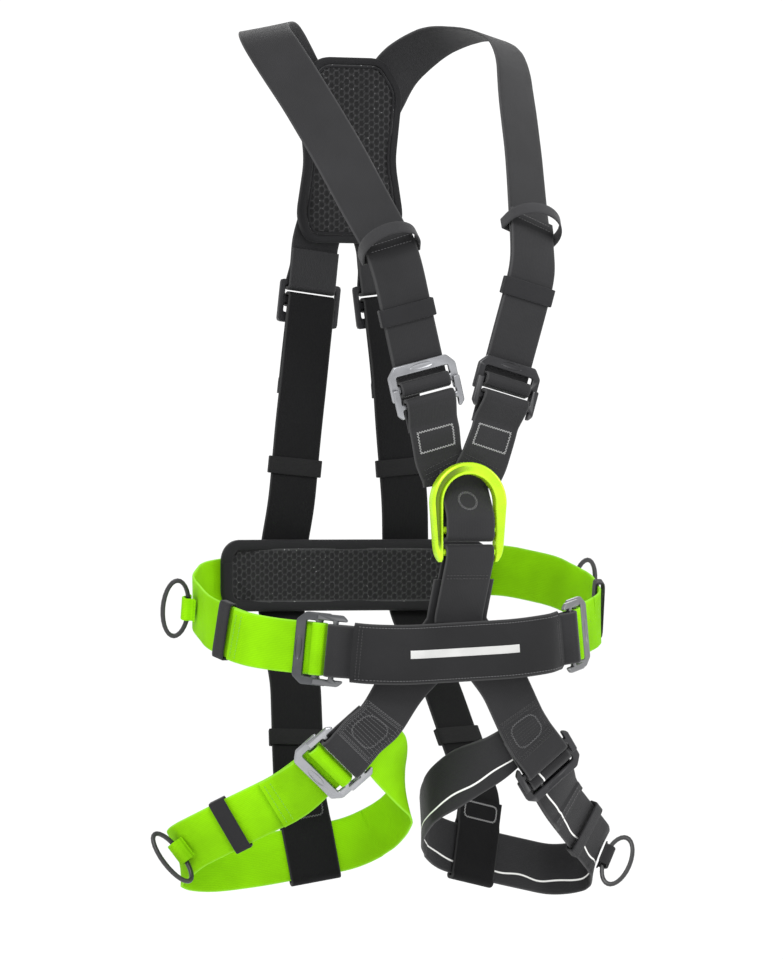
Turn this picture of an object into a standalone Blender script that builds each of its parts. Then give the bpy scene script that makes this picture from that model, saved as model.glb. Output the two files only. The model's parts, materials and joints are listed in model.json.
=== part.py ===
"""Full-body climbing harness: webbing, pads, buckles and rings as separate pieces.

World frame: +Z up, the wearer faces -Y, the wearer's left is +X.
The origin is the middle of the waist loop. Lengths below are in millimetres.
"""
import math

import bmesh
import bpy
from mathutils import Matrix, Vector

MM = 0.001
WEB = 45.0              # webbing width
THICK = 2.0             # webbing thickness
WELD = 0.00001          # joins a plate's caps to its sides, in metres

LAYER = 2.8             # step between layers of webbing that cross each other
SEWN_STEP = 1.35        # half the step between two layers sewn face to face

PAD_THICK = 7.0
LUMBAR_HEIGHT = 60.0
LUMBAR_CORNER = 14.0
SLEEVE_HEIGHT = 51.0
SLEEVE_DEPTH = 8.4
SLEEVE_HOLLOW = (47.6, 6.0)

PARK_WIDTH = 53.0       # loop on the shoulder strap, across the webbing
PARK_DEPTH = 34.0
PARK_LENGTH = 12.0
PARK_WALL = 1.7
PARK_OUT = 9.0          # from the webbing to the middle of the loop
PARK_TILT = {"r": -15, "l": -5}         # degrees from square to the webbing, front upwards

# Buckle, in its own frame: x across the webbing, y towards the sewn side, z outwards.
PLATE = 4.0
FRAME_LEVEL = 2.0
TONGUE_LEVEL = 6.4
TONGUE_BAR = 11.0
LOW_LAYER = -4.6        # webbing layer against the body
TAIL_LAYER = -1.9       # webbing layer folded back over it
SEWN_LOW = 0.2          # flap of the sewn webbing
SEWN_TOP = 2.9          # long layer of the sewn webbing
LEAVES = 16.0           # where the long layer leaves a buckle
TWO_LAYERS = 4.7        # stack of tail and long layer inside a keeper
TAIL_MIDDLE = (LOW_LAYER + TAIL_LAYER) / 2

CHEST_BUCKLE = ((37, -130, 191), (-0.256, 0.06, -0.965), (0.1, -1, 0))
WAIST_BUCKLE = ((117, -96, -26), (-0.80, -0.56, -0.13), (0.56, -0.83, 0))
LEG_BUCKLE = ((100, -79, -130), (-0.62, -0.40, 0.67), (0.25, -0.88, -0.40))

# Chest ring, in its own frame: x across, y up, z outwards, origin on its lower bar.
RING_AT = (0, -138, 51)
RING_DEPTH = 10.0
RING_INNER = 24.4
RING_TOP = 35.0
RING_FOOT = 31.0
RING_ARCH = 42.0
RING_BASE = -8.0
BAR_RADIUS = 3.0
BAR_LENGTH = 52.0
UPPER_BAR = 19.0
TAB_AXIS = (0, -126, 116)

COLLECTION = "climbing_harness"
BLACK = (0.02, 0.02, 0.022)
LIME = (0.30, 0.85, 0.03)
ALLOY = (0.45, 0.72, 0.02)
SILVER = (0.55, 0.56, 0.58)
GREY = (0.12, 0.125, 0.13)
BRIGHT_METAL = (SILVER, 1.0, 0.35)
DARK_METAL = ((0.03, 0.03, 0.033), 0.6, 0.4)
BELT_METALS = {"r": ((0.05, 0.052, 0.055), 0.9, 0.4), "l": ((0.16, 0.16, 0.165), 0.9, 0.4)}
PLASTIC = ((0.03, 0.03, 0.03), 0.2, 0.4)
PAD_CLOTH = ((0.03, 0.03, 0.03),)
SIDES = (("r", -1), ("l", 1))


def clear_scene():
    for item in list(bpy.data.objects):
        bpy.data.objects.remove(item, do_unlink=True)


def collection(name):
    group = bpy.data.collections.new(name)
    bpy.context.scene.collection.children.link(group)
    return group


def material(name, colour, metal=0.0, rough=0.8):
    made = bpy.data.materials.new(name)
    made.use_nodes = True
    shader = made.node_tree.nodes["Principled BSDF"]
    shader.inputs["Base Color"].default_value = (*colour, 1)
    shader.inputs["Metallic"].default_value = metal
    shader.inputs["Roughness"].default_value = rough
    return made


def place(name, mesh, look, frame=None):
    """Add one node to the harness, placed by its frame."""
    obj = bpy.data.objects.new(name, mesh)
    if frame:
        obj.location = frame.to_translation()
        obj.rotation_euler = frame.to_euler()
    mesh.materials.clear()
    mesh.materials.append(material(name, *look))
    bpy.data.collections[COLLECTION].objects.link(obj)
    return obj


def add_modifier(obj, kind, **settings):
    modifier = obj.modifiers.new(kind.lower(), kind)
    for key, value in settings.items():
        setattr(modifier, key, value)
    return modifier


def to_side(vector, side, lean=0.0):
    """Mirror a left-hand vector to one side, with the whole pair tipped sideways a little."""
    x, y, z = vector
    return Vector((side * x, y, z + lean * side * x))


def basis(at, along, outward, side=1, lean=0.0):
    """Frame with y along, z outwards and x across, mirrored to one side."""
    y = to_side(along, side, lean).normalized()
    z = to_side(outward, side)
    z = (z - y * z.dot(y)).normalized()
    x = y.cross(z)
    frame = Matrix((x, y, z)).transposed().to_4x4()
    frame.translation = to_side(at, side, lean) * MM
    return frame


# ---------------------------------------------------------------- webbing

def round_corners(points, reach, steps=3):
    """Round each inner corner of a chain of (position, width direction) pairs."""
    made = [points[0]]
    for before, here, after in zip(points, points[1:], points[2:]):
        back = before[0] - here[0]
        ahead = after[0] - here[0]
        start = min(reach, back.length * 0.5) / back.length
        end = min(reach, ahead.length * 0.5) / ahead.length
        for step in range(steps + 1):
            t = step / steps
            a = here[0] + back * start * (1 - t) ** 2 + ahead * end * t ** 2
            b = here[1] + (before[1] - here[1]) * start * (1 - t) ** 2
            b += (after[1] - here[1]) * end * t ** 2
            if (a - made[-1][0]).length > 0.2:
                made.append((a, b))
    made.append(points[-1])
    return made


def split_long(chain, longest):
    """The same chain with points added where it runs straight, so that a twist is even."""
    made = [chain[0]]
    for (a, across_a), (b, across_b) in zip(chain, chain[1:]):
        count = math.ceil((b - a).length / longest)
        made += [(a.lerp(b, k / count), across_a.lerp(across_b, k / count)) for k in range(1, count + 1)]
    return made


def bend(points, reach, steps=3):
    """Rounded chain from (x, y, z, width x, width y, width z) rows."""
    pairs = [(Vector(p[:3]), Vector(p[3:]).normalized()) for p in points]
    return round_corners(pairs, reach, steps)


def mirrored(chain, side):
    return [(to_side(a, side), to_side(b, side) * side) for a, b in chain]


def in_frame(frame, rows, reach=2.6):
    """Chain of (along, outwards) rows inside a buckle frame, as world pairs."""
    across = frame.to_3x3() @ Vector((1, 0, 0))
    pairs = [(frame @ (Vector((0, u, n)) * MM) / MM, across.copy()) for u, n in rows]
    return round_corners(pairs, reach)


def shifted(chain, distance):
    """The same chain moved along its own surface normal."""
    made = []
    for (centre, across), along in zip(chain, directions(chain)):
        made.append((centre + along.cross(across).normalized() * distance, across))
    return made


def turned(chain):
    """The same chain with its width directions reversed."""
    return [(centre, -across) for centre, across in chain]


def directions(chain):
    last = len(chain) - 1
    ends = [(max(i - 1, 0), min(i + 1, last)) for i in range(last + 1)]
    return [(chain[b][0] - chain[a][0]).normalized() for a, b in ends]


def strip(name, chain, look, width=WEB, thick=THICK, corner=0.0, origin=None):
    """One length of webbing: an open strip along the chain, thickened to both sides."""
    start = Vector(origin) if origin else Vector((0, 0, 0))
    lengths = [0.0]
    for (a, _), (b, _) in zip(chain, chain[1:]):
        lengths.append(lengths[-1] + (b - a).length)
    bm = bmesh.new()
    rails = []
    for (centre, hint), along, run in zip(chain, directions(chain), lengths):
        across = (hint - along * hint.dot(along)).normalized()
        near_end = min(run, lengths[-1] - run, corner)
        half = width / 2 - corner + math.sqrt(max(corner ** 2 - (corner - near_end) ** 2, 0))
        rails.append([bm.verts.new((centre - start + across * half * k) * MM) for k in (-1, 1)])
    for near, far in zip(rails, rails[1:]):
        bm.faces.new((near[0], near[1], far[1], far[0]))
    mesh = bpy.data.meshes.new(name)
    bm.to_mesh(mesh)
    bm.free()
    obj = place(name, mesh, look)
    obj.location = start * MM
    add_modifier(obj, "SOLIDIFY", thickness=thick * MM, offset=0.0)
    return obj


# ---------------------------------------------------------------- plates

def rounded(corners, radius, steps=2):
    """Polygon with rounded corners from (x, y) points."""
    made = []
    count = len(corners)
    for i, (x, y) in enumerate(corners):
        here = Vector((x, y))
        back = Vector(corners[i - 1]) - here
        ahead = Vector(corners[(i + 1) % count]) - here
        start = min(radius / back.length, 0.49)
        end = min(radius / ahead.length, 0.49)
        for step in range(steps + 1):
            t = step / steps
            made.append(here + back * start * (1 - t) ** 2 + ahead * end * t ** 2)
    return made


def box_outline(width, height, radius, x=0.0, y=0.0):
    w, h = width / 2, height / 2
    return rounded(((x - w, y - h), (x + w, y - h), (x + w, y + h), (x - w, y + h)), radius)


def plate(name, outlines, depth, edge, look, frame, level=0.0):
    """Flat piece with softened edges: the first outline is its rim, the others are holes."""
    curve = bpy.data.curves.new(name, "CURVE")
    curve.dimensions = "2D"
    curve.fill_mode = "BOTH"
    curve.extrude = (depth / 2 - edge) * MM
    curve.bevel_depth = edge * MM
    curve.bevel_resolution = 0
    curve.offset = -edge * MM
    for outline in [outlines[0]] + [hole[::-1] for hole in outlines[1:]]:
        spline = curve.splines.new("POLY")
        spline.points.add(len(outline) - 1)
        spline.use_cyclic_u = True
        for point, (x, y) in zip(spline.points, outline):
            point.co = (x * MM, y * MM, 0, 1)
    holder = bpy.data.objects.new(name + "_curve", curve)
    mesh = bpy.data.meshes.new_from_object(holder)
    bpy.data.objects.remove(holder)
    bpy.data.curves.remove(curve)
    bm = bmesh.new()
    bm.from_mesh(mesh)
    bmesh.ops.remove_doubles(bm, verts=bm.verts, dist=WELD)
    bmesh.ops.translate(bm, verts=bm.verts, vec=(0, 0, level * MM))
    bmesh.ops.recalc_face_normals(bm, faces=bm.faces)
    bm.to_mesh(mesh)
    bm.free()
    mesh.name = name
    return place(name, mesh, look, frame)


def union(target, other):
    add_modifier(target, "BOOLEAN", operation="UNION", solver="EXACT", object=other)


def cutter(obj):
    for group in list(obj.users_collection):
        group.objects.unlink(obj)
    bpy.data.collections["cutters"].objects.link(obj)
    obj.hide_render = True
    obj.display_type = "WIRE"
    return obj


def bar(name, frame, centre, length, radius):
    """Round bar across a frame, merged into its plate."""
    bm = bmesh.new()
    turn = Matrix.Rotation(math.radians(90), 4, "Y")
    bmesh.ops.create_cone(bm, cap_ends=True, segments=12, radius1=radius * MM, radius2=radius * MM,
                          depth=length * MM, matrix=Matrix.Translation(Vector(centre) * MM) @ turn)
    mesh = bpy.data.meshes.new(name)
    bm.to_mesh(mesh)
    bm.free()
    return cutter(place(name, mesh, (GREY,), frame))


# ---------------------------------------------------------------- buckles

def buckle(name, spot, side, frame_look, tongue_look, lean=0.0):
    """Two-part buckle: the frame takes the folded webbing, the tongue the sewn webbing."""
    frame = basis(*spot, side, lean)
    rim = rounded(((-31, 6), (-31, -16), (-24, -24), (24, -24), (31, -16), (31, 6),
                   (25, 6), (25, -1), (-25, -1), (-25, 6)), 1.6, 2)
    slot = box_outline(48, 8, 1.5, 0, -11)
    plate(name + "_frame", (rim, slot), PLATE, 0.8, frame_look, frame, FRAME_LEVEL)
    a, b = TONGUE_BAR - 2.2, TONGUE_BAR + 2.2
    arms = ((-30.5, -5), (-25, -5), (-25, a), (25, a), (25, -5), (30.5, -5), (30.5, 17), (27, 21),
            (25, 21), (25, b), (-25, b), (-25, 21), (-27, 21), (-30.5, 17))
    arms = rounded([(x, y - TONGUE_BAR) for x, y in arms], 1.2, 2)
    pivot = frame @ Matrix.Translation(Vector((0, TONGUE_BAR, TONGUE_LEVEL)) * MM)
    plate(name + "_tongue", (arms,), PLATE, 0.8, tongue_look, pivot)
    return frame


def adjustable(frame, route, tail_length):
    """Webbing folded over the middle bar: tail end first, then the fold, then the long layer."""
    turn = in_frame(frame, ((-LEAVES, TAIL_LAYER), (-8.9, TAIL_LAYER), (-8.9, 6.0), (1.2, 6.0),
                            (1.2, LOW_LAYER), (-LEAVES, LOW_LAYER)))
    run = 0.0
    tail = []
    for (here, across), (before, _) in zip(route, [route[0]] + route):
        run += (here - before).length
        if run <= tail_length:
            tail.append((here, across))
    folded = shifted(tail, TAIL_LAYER)
    return folded[::-1] + turn + shifted(route, LOW_LAYER)


def away(frame, distance):
    """Point on the buckle's own line, on its adjustable side, with its width direction."""
    return frame @ (Vector((0, -distance, 0)) * MM) / MM, frame.to_3x3() @ Vector((1, 0, 0))


def route_from(frame, start, straight, rows, side, reach=18.0, lean=0.0):
    """Rounded route that leaves a buckle straight and then follows (x, y, z, width) rows."""
    pairs = [away(frame, start), away(frame, straight)]
    pairs += [(to_side(r[:3], side, lean), to_side(r[3:], side).normalized() * side) for r in rows]
    return round_corners(pairs, reach)


def sewn_fold(frame, level, flap, slope, reach, low, top):
    """Webbing sewn round a bar: flap end first, then the fold, then the layer on top."""
    near = TONGUE_BAR - 4.2
    rows = ((flap, low), (TONGUE_BAR + 9, low), (TONGUE_BAR + 3, level - 4.2), (near, level - 4.2),
            (near, level + 4.2), (TONGUE_BAR + 3, level + 4.2), (slope, top), (reach, top))
    return in_frame(frame, rows)


def crossing(chain, axis, value):
    """Frame on the chain where it first crosses a plane, y along the webbing and z outwards."""
    for (a, across_a), (b, across_b) in zip(chain, chain[1:]):
        if (a[axis] - value) * (b[axis] - value) <= 0:
            share = (value - a[axis]) / (b[axis] - a[axis])
            along = (b - a).normalized()
            return basis(a.lerp(b, share), along, along.cross(across_a.lerp(across_b, share)))


def keeper(name, frame, stack, look=(BLACK,), length=15.0, width=WEB):
    """Flat band round the webbing."""
    flat = Matrix.Rotation(math.radians(-90), 4, "X")
    rim = box_outline(width + 5, stack + 4.2, 1.4)
    hole = box_outline(width + 1.4, stack + 1.0, 0.5)
    return plate(name, (rim, hole), length, 0.4, look, frame @ flat)


def angles(count):
    return [math.tau * i / count for i in range(count)]


def oval(width, height, x, count=28):
    return [(x + width / 2 * math.cos(t), height / 2 * math.sin(t)) for t in angles(count)]


def gear_ring(name, frame, tab_look, ring_look):
    """Oval ring in a webbing tab that stands off the strap behind it."""
    turn = Matrix.Rotation(math.radians(-90), 4, "Y")
    pivot = frame @ Matrix.Translation(Vector((0, 0, 7)) * MM)
    plate(name, (oval(27, 54, 11.5), oval(19, 46, 11.5)), 3.2, 0.6, ring_look, pivot @ turn)
    along = frame.to_3x3() @ Vector((0, 1, 0))
    rows = ((-8.5, 4), (-4.6, 4), (-4.6, 11.8), (4.6, 11.8), (4.6, 4), (8.5, 4))
    pairs = [(frame @ (Vector((x, 0, n)) * MM) / MM, along.copy()) for x, n in rows]
    strip(name + "_tab", round_corners(pairs, 3.2, 3), tab_look, 20, 1.4)


# ---------------------------------------------------------------- left and right pieces

SHOULDER = ((68, -127, 314, -0.96, -0.18, 0.22), (79, -96, 354, -0.93, -0.33, 0.12),
            (90, -64, 398, -0.91, -0.4, 0.08), (102, -26, 443, -0.9, -0.43, 0.03),
            (114, 8, 482, -0.82, -0.57, 0), (116, 36, 504, -0.75, -0.66, 0),
            (103, 68, 514, -0.72, -0.66, 0.15), (78, 103, 508, -0.8, -0.35, 0.45),
            (50, 126.5, 482, -0.87, 0, 0.49), (29, 125.2, 444, -0.9, 0, 0.43),
            (0, 125.2, 396, -0.92, 0, 0.4), (-22, 124.8, 348, -0.95, 0, 0.3))
CROSSING = 3            # rows of SHOULDER, counted from its end, that lie over the other strap
WAIST = ((173, -52, -15, 0, 0, 1), (187, 0, -1, 0, 0, 1), (179, 58, 15, 0, 0, 1),
         (150, 102, 26, 0, 0, 1), (82, 124, 31, 0, 0, 1), (0, 126.5, 31.5, 0, 0, 1))
LUMBAR = ((127, 98.5, 28), (80, 112.6, 29), (0, 115.6, 30))
BACK = ((47.5, 120, 170, -1, 0, -0.1), (55, 122, 90, -1, 0, -0.1), (59, 130, 52, -1, 0, -0.08),
        (63, 129, 2, -1, 0, -0.08), (69, 79, -66, -1, 0, -0.05))
LEG = ((130, -55, -162, 0.45, 0, 0.9), (205, 14, -213, 0.45, 0, 0.9), (198, 46, -224, 0.2, 0.1, 0.97),
       (164, 50, -228, 0, 0.1, 0.99), (122, 33, -221, 0, 0.1, 0.99), (38, 18, -204, 0, 0.1, 0.99),
       (10, -2, -186, 0.1, 0.3, 0.93), (5, -36, -162, 0.1, 0.4, 0.85), (30, -66, -140, -0.3, 0.0, 0.9))
LEG_FRONT = ((46, -109, -60, 0.86, 0, 0.5), (25, -115.3, -38, 0.86, 0, 0.5), (6, -115.9, -14, 1, 0, 0),
             (5, -115.9, -5, 1, 0, 0), (5, -130.7, 28, 1, 0, 0))
CHEST_ENDS = {"l": ((20, -127, 129, -0.965, 0, 0.25), (14, -126.2, 117, -1, 0, 0.1),
                    (13, -126, 109, -1, 0, 0.1)),
              "r": ((21.5, -124.5, 133, -0.965, 0, 0.25), (14, -123.4, 117, -1, 0, 0.1),
                    (13, -123.3, 109, -1, 0, 0.1))}
FRONT_BELT = ((52, -124.5, -34), (-52, -124.5, -34))
UPPER_PAD = ((31, 72), (50, 43), (43, -20), (51, -70), (42, -92))
UPPER_PAD_AT = (0, 117.4, 415)
ADJUSTER = ((36, 119, 274), (-0.12, 0.02, 0.99), (0, 1, 0))
BELT_LEAN = 0.045       # sideways tip of the waist pieces as the harness hangs
LEG_LEAN = -0.03

CHEST_TAIL = {"r": 128, "l": 148}       # loose webbing, along the strap from its buckle
WAIST_TAIL = 82
BACK_TAIL = 75
LEG_TAIL = 110
CHEST_KEEPER = {"r": 66, "l": 86}       # keeper, along the strap from its buckle
PARK_HEIGHT = {"r": 309, "l": 328}      # height of the park loops
WAIST_KEEPER_Y = -24
SIDE_RING_Y = 40
BACK_KEEPER_Z = 125
LOW_KEEPER_Z = -112
LEG_KEEPER_X = 168
LEG_HANG_X = 78         # where the rear strap goes round the leg loop
LEG_RING_Y = 17


def park_outline(width, depth):
    """Band section: flat against the strap and arched on its outer side."""
    spring = depth / 2 - 8
    arch = [math.radians(d) for d in range(0, 181, 18)]
    crown = [(width / 2 * math.cos(a), spring - (depth / 2 + spring) * math.sin(a)) for a in arch]
    return [(-width / 2, depth / 2), (width / 2, depth / 2)] + crown


def park_loop(label, chain):
    """Loop for parking a connector, with its front tilted up."""
    frame = crossing(chain, 2, PARK_HEIGHT[label])
    rear = PARK_DEPTH / 2 - PARK_OUT
    tilt = Matrix.Rotation(math.radians(PARK_TILT[label]), 4, "X")
    out = Matrix.Translation(Vector((0, 0, PARK_DEPTH / 2)) * MM)
    flat = Matrix.Rotation(math.radians(-90), 4, "X")
    frame = frame @ Matrix.Translation(Vector((0, 0, -rear)) * MM) @ tilt @ out @ flat
    outlines = [park_outline(PARK_WIDTH - 2 * wall, PARK_DEPTH - 2 * wall) for wall in (0, PARK_WALL)]
    plate("park_loop_" + label, outlines, PARK_LENGTH, 0.4, (BLACK,), frame)


def chest_side(label, side):
    look = BRIGHT_METAL if side < 0 else DARK_METAL
    frame = buckle("chest_buckle_" + label, CHEST_BUCKLE, side, look, look)
    layer = 0.0 if side > 0 else LAYER
    over = [(x, y + layer, *rest) for x, y, *rest in SHOULDER[-CROSSING - 1:]]
    route = route_from(frame, LEAVES, 104, SHOULDER[:-CROSSING - 1] + tuple(over), side)
    other = basis(*ADJUSTER, -side)
    sewn = sewn_fold(other, FRAME_LEVEL, 42, 27, 50, -2.2, 0.5)
    strip("shoulder_strap_" + label, adjustable(frame, route, CHEST_TAIL[label]) + sewn[::-1], (BLACK,))
    middle = frame @ Matrix.Translation(Vector((0, -CHEST_KEEPER[label], TAIL_MIDDLE)) * MM)
    keeper("chest_keeper_" + label, middle, TWO_LAYERS)
    park_loop(label, shifted(route, TAIL_MIDDLE))
    sewn = sewn_fold(frame, TONGUE_LEVEL, 34, 30, 40, SEWN_LOW, SEWN_TOP)
    ends = round_corners([sewn[-1]] + mirrored(bend(CHEST_ENDS[label], 1), side), 4)
    strip("chest_strap_" + label, sewn[:-1] + ends, (BLACK,))


def waist_side(label, side):
    look = BELT_METALS[label]
    frame = buckle("waist_buckle_" + label, WAIST_BUCKLE, side, look, look, BELT_LEAN)
    route = route_from(frame, LEAVES, 40, WAIST, side, 16, BELT_LEAN)
    keeper("waist_keeper_" + label, crossing(shifted(route, TAIL_MIDDLE), 1, WAIST_KEEPER_Y), TWO_LAYERS)
    ring_on_strap("side_ring_" + label, crossing(shifted(route, LOW_LAYER), 1, SIDE_RING_Y), LIME)
    return frame, adjustable(frame, route, WAIST_TAIL)


def ring_on_strap(name, seat, colour):
    """Gear ring on the outer face of a strap, its tab's width along the strap."""
    along = seat.to_3x3() @ Vector((1, 0, 0))
    outward = seat.to_3x3() @ Vector((0, 0, 1))
    gear_ring(name, basis(seat.translation / MM, along, outward), (colour,), PLASTIC)


def hanger(seat):
    """Rows of a strap end that goes down outside the leg loop, under it and up inside it, sewn to itself."""
    turn = seat.to_3x3()
    up, across, out = (turn @ Vector(axis) for axis in ((1, 0, 0), (0, 1, 0), (0, 0, 1)))
    up *= math.copysign(1, up.z)
    out *= math.copysign(1, out.y)
    across *= -math.copysign(1, across.x)
    beside = THICK + 0.7
    under = -WEB / 2 - beside
    rows = ((50, SEWN_STEP), (27, SEWN_STEP), (23, beside), (under, beside), (under, -beside), (23, -beside),
            (27, -SEWN_STEP), (47, -SEWN_STEP))
    return [(seat.translation / MM + up * u + out * n, across.copy()) for u, n in rows]


def back_side(label, side, leg_seat):
    frame = basis(*ADJUSTER, side)
    rim = box_outline(58, 38, 3, 0, -5)
    slots = (box_outline(48, 8, 1.5, 0, -11), box_outline(48, 9.6, 1.5, 0, 4))
    plate("back_adjuster_" + label, (rim, *slots), PLATE, 0.8, DARK_METAL, frame, FRAME_LEVEL)
    chain = adjustable(frame, route_from(frame, LEAVES, 60, BACK, side), BACK_TAIL)
    rows = hanger(leg_seat)
    chain[-1] = (chain[-1][0], rows[0][1])
    lower = split_long(round_corners(chain[-2:] + rows[:2], 12), 16)
    chain = chain[:-2] + lower[:-1] + round_corners(rows[1:], 2.4)
    strip("back_strap_" + label, chain, (BLACK,))
    keeper("back_keeper_" + label, crossing(chain[::-1], 2, BACK_KEEPER_Z), THICK)
    keeper("low_keeper_" + label, crossing(chain[::-1], 2, LOW_KEEPER_Z), THICK)


def leg_side(label, side):
    """Leg loop with its buckle, ring and front strap; returns where the rear strap goes round it."""
    look = BRIGHT_METAL if side < 0 else DARK_METAL
    colour = LIME if side < 0 else BLACK
    frame = buckle("leg_buckle_" + label, LEG_BUCKLE, side, look, look, LEG_LEAN)
    route = route_from(frame, LEAVES, 24, LEG, side, lean=LEG_LEAN)
    width_way = (frame.to_3x3() @ Vector((0, side, 0))).normalized()
    behind = [(frame @ (Vector((x, 38, 1.6)) * MM) / MM, width_way) for x in (-side * 26, side * 18)]
    whole = adjustable(frame, route[:-1] + round_corners([route[-1]] + behind, 18), LEG_TAIL)
    strip("leg_loop_" + label, whole, (colour,))
    keeper("leg_keeper_" + label, crossing(shifted(route, TAIL_MIDDLE), 0, LEG_KEEPER_X * side), TWO_LAYERS)
    main = shifted(route, LOW_LAYER)
    ring_on_strap("leg_ring_" + label, crossing(main, 1, LEG_RING_Y), colour)
    layer = 0.0 if side > 0 else LAYER
    shares = (0.5, 1, 1, 1, 1)
    rows = [(x, y + layer * share, *rest) for (x, y, *rest), share in zip(LEG_FRONT, shares)]
    sewn = sewn_fold(frame, TONGUE_LEVEL, 50, 34, 54, SEWN_LOW, SEWN_TOP)
    chain = sewn[:-1] + round_corners([sewn[-1]] + mirrored(bend(rows, 4), side), 12)
    strip("leg_front_strap_" + label, chain, (BLACK,))
    return crossing(main, 0, LEG_HANG_X * side)


# ---------------------------------------------------------------- middle pieces

def upright(rows):
    return [(Vector(r[:3]), Vector((0, 0, 1))) for r in rows]


def in_plane(frame, rows):
    """Pairs at (along, outwards) places on a buckle's middle line, with an upright width direction."""
    return upright([frame @ (Vector((0, u, n)) * MM) / MM for u, n in rows])


def waist_middle(ends):
    (left_frame, left_chain), (right_frame, right_chain) = ends
    strip("waist_webbing", left_chain + turned(right_chain)[-2::-1], (LIME,))
    left, right = [sewn_fold(f, TONGUE_LEVEL, 34, 24, 31, SEWN_LOW, 2.6) for f in (left_frame, right_frame)]
    right = turned(right)
    front = upright([to_side(p, 1, BELT_LEAN) for p in FRONT_BELT])
    bends = [in_plane(f, ((42, 2.3),)) for f in (left_frame, right_frame)]
    middle = round_corners([left[-1]] + bends[0] + front + bends[1] + [right[-1]], 20)
    strip("front_strap", left[:-1] + middle + right[:-1][::-1], (BLACK,))
    left, right = [in_plane(f, ((29, 1.5), (31, 1.55), (42, 2))) for f in (left_frame, right_frame)]
    cover = round_corners(left[1:] + front + right[:0:-1], 20)
    inside = round_corners(left + front + right[::-1], 20)
    tube = strip("front_sleeve", cover, (BLACK,), SLEEVE_HEIGHT, SLEEVE_DEPTH)
    hollow = cutter(strip("sleeve_hollow", inside, (BLACK,), *SLEEVE_HOLLOW))
    add_modifier(tube, "BOOLEAN", operation="DIFFERENCE", solver="EXACT", object=hollow)


def pads():
    outline = rounded(list(UPPER_PAD) + [(-x, y) for x, y in UPPER_PAD[::-1]], 11, 4)
    frame = basis(UPPER_PAD_AT, (0, 0, 1), (0, 1, 0))
    plate("upper_back_pad", (outline,), PAD_THICK, 1.8, PAD_CLOTH, frame, -PAD_THICK / 2)
    rows = list(LUMBAR) + [(-x, y, z) for x, y, z in LUMBAR[-2::-1]]
    chain = round_corners(upright(rows), 30, 6)
    strip("lumbar_pad", chain, PAD_CLOTH, LUMBAR_HEIGHT, PAD_THICK, LUMBAR_CORNER)


def chest_ring():
    arch = [math.radians(d) for d in range(0, 181, 15)]
    outer = [(RING_TOP * math.cos(a), RING_ARCH + RING_TOP * math.sin(a)) for a in arch]
    inner = [(RING_INNER * math.cos(a), RING_ARCH + RING_INNER * math.sin(a)) for a in arch]
    right_foot = [(RING_INNER, RING_BASE), (RING_FOOT, RING_BASE)]
    left_foot = [(-x, y) for x, y in right_foot[::-1]]
    frame = basis(RING_AT, (0, 0, 1), (0, -1, 0))
    ring = plate("chest_ring", (right_foot + outer + left_foot + inner[::-1],), RING_DEPTH, 2.0,
                 (ALLOY, 0.7, 0.35), frame)
    union(ring, bar("lower_bar", frame, (0, 0, 0), BAR_LENGTH, BAR_RADIUS))
    union(ring, bar("upper_bar", frame, (0, UPPER_BAR, 0), BAR_LENGTH, BAR_RADIUS))


def loop(name, rows, origin=None):
    pairs = [(Vector((0, y, z)), Vector((1, 0, 0))) for y, z in rows]
    return strip(name, round_corners(pairs, 5.5), (BLACK,), origin=origin)


def build():
    clear_scene()
    collection(COLLECTION)
    collection("cutters")
    for label, side in SIDES:
        chest_side(label, side)
        back_side(label, side, leg_side(label, side))
    waist_middle([waist_side(label, side) for label, side in SIDES[::-1]])
    pads()
    chest_ring()
    loop("chest_tab", ((-129.5, 121), (-129.5, 107), (-143.6, 82), (-143.6, 62.3), (-132.4, 62.3),
                       (-132.4, 78), (-119.6, 106), (-119.6, 121)), TAB_AXIS)
    loop("ring_loop", ((-118.6, -9), (-118.6, -4), (-142.8, 46), (-142.8, 55.8), (-133.2, 55.8),
                       (-133.2, 46), (-113, 2)))


build()
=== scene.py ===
import json
import math

import bmesh
import bpy
from mathutils import Matrix, Vector
from mathutils.bvhtree import BVHTree
from mathutils.kdtree import KDTree


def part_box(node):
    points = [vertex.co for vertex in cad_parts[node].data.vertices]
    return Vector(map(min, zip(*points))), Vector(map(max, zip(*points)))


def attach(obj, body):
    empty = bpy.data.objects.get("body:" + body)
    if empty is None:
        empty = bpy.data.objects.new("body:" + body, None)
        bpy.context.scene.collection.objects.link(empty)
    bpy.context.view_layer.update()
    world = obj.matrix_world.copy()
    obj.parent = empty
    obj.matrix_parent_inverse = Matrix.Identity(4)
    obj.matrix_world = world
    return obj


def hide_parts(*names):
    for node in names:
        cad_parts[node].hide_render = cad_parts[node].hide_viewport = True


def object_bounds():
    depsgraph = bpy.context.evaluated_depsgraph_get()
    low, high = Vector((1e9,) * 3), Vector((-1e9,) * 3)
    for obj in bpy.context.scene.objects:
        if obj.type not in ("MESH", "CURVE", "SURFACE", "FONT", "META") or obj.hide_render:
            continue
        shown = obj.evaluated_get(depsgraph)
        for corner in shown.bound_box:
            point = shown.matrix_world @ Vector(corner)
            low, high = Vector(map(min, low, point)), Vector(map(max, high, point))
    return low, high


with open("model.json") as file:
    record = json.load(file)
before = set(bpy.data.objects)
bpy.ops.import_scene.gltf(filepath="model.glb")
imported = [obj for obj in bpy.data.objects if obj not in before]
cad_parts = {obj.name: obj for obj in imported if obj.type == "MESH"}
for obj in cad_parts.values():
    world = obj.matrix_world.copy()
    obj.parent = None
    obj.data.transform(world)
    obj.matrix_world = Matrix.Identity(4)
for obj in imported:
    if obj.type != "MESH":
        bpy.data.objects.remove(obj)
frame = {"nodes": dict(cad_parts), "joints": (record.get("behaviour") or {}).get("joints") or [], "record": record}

MM = 0.001
CAD_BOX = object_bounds()
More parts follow.
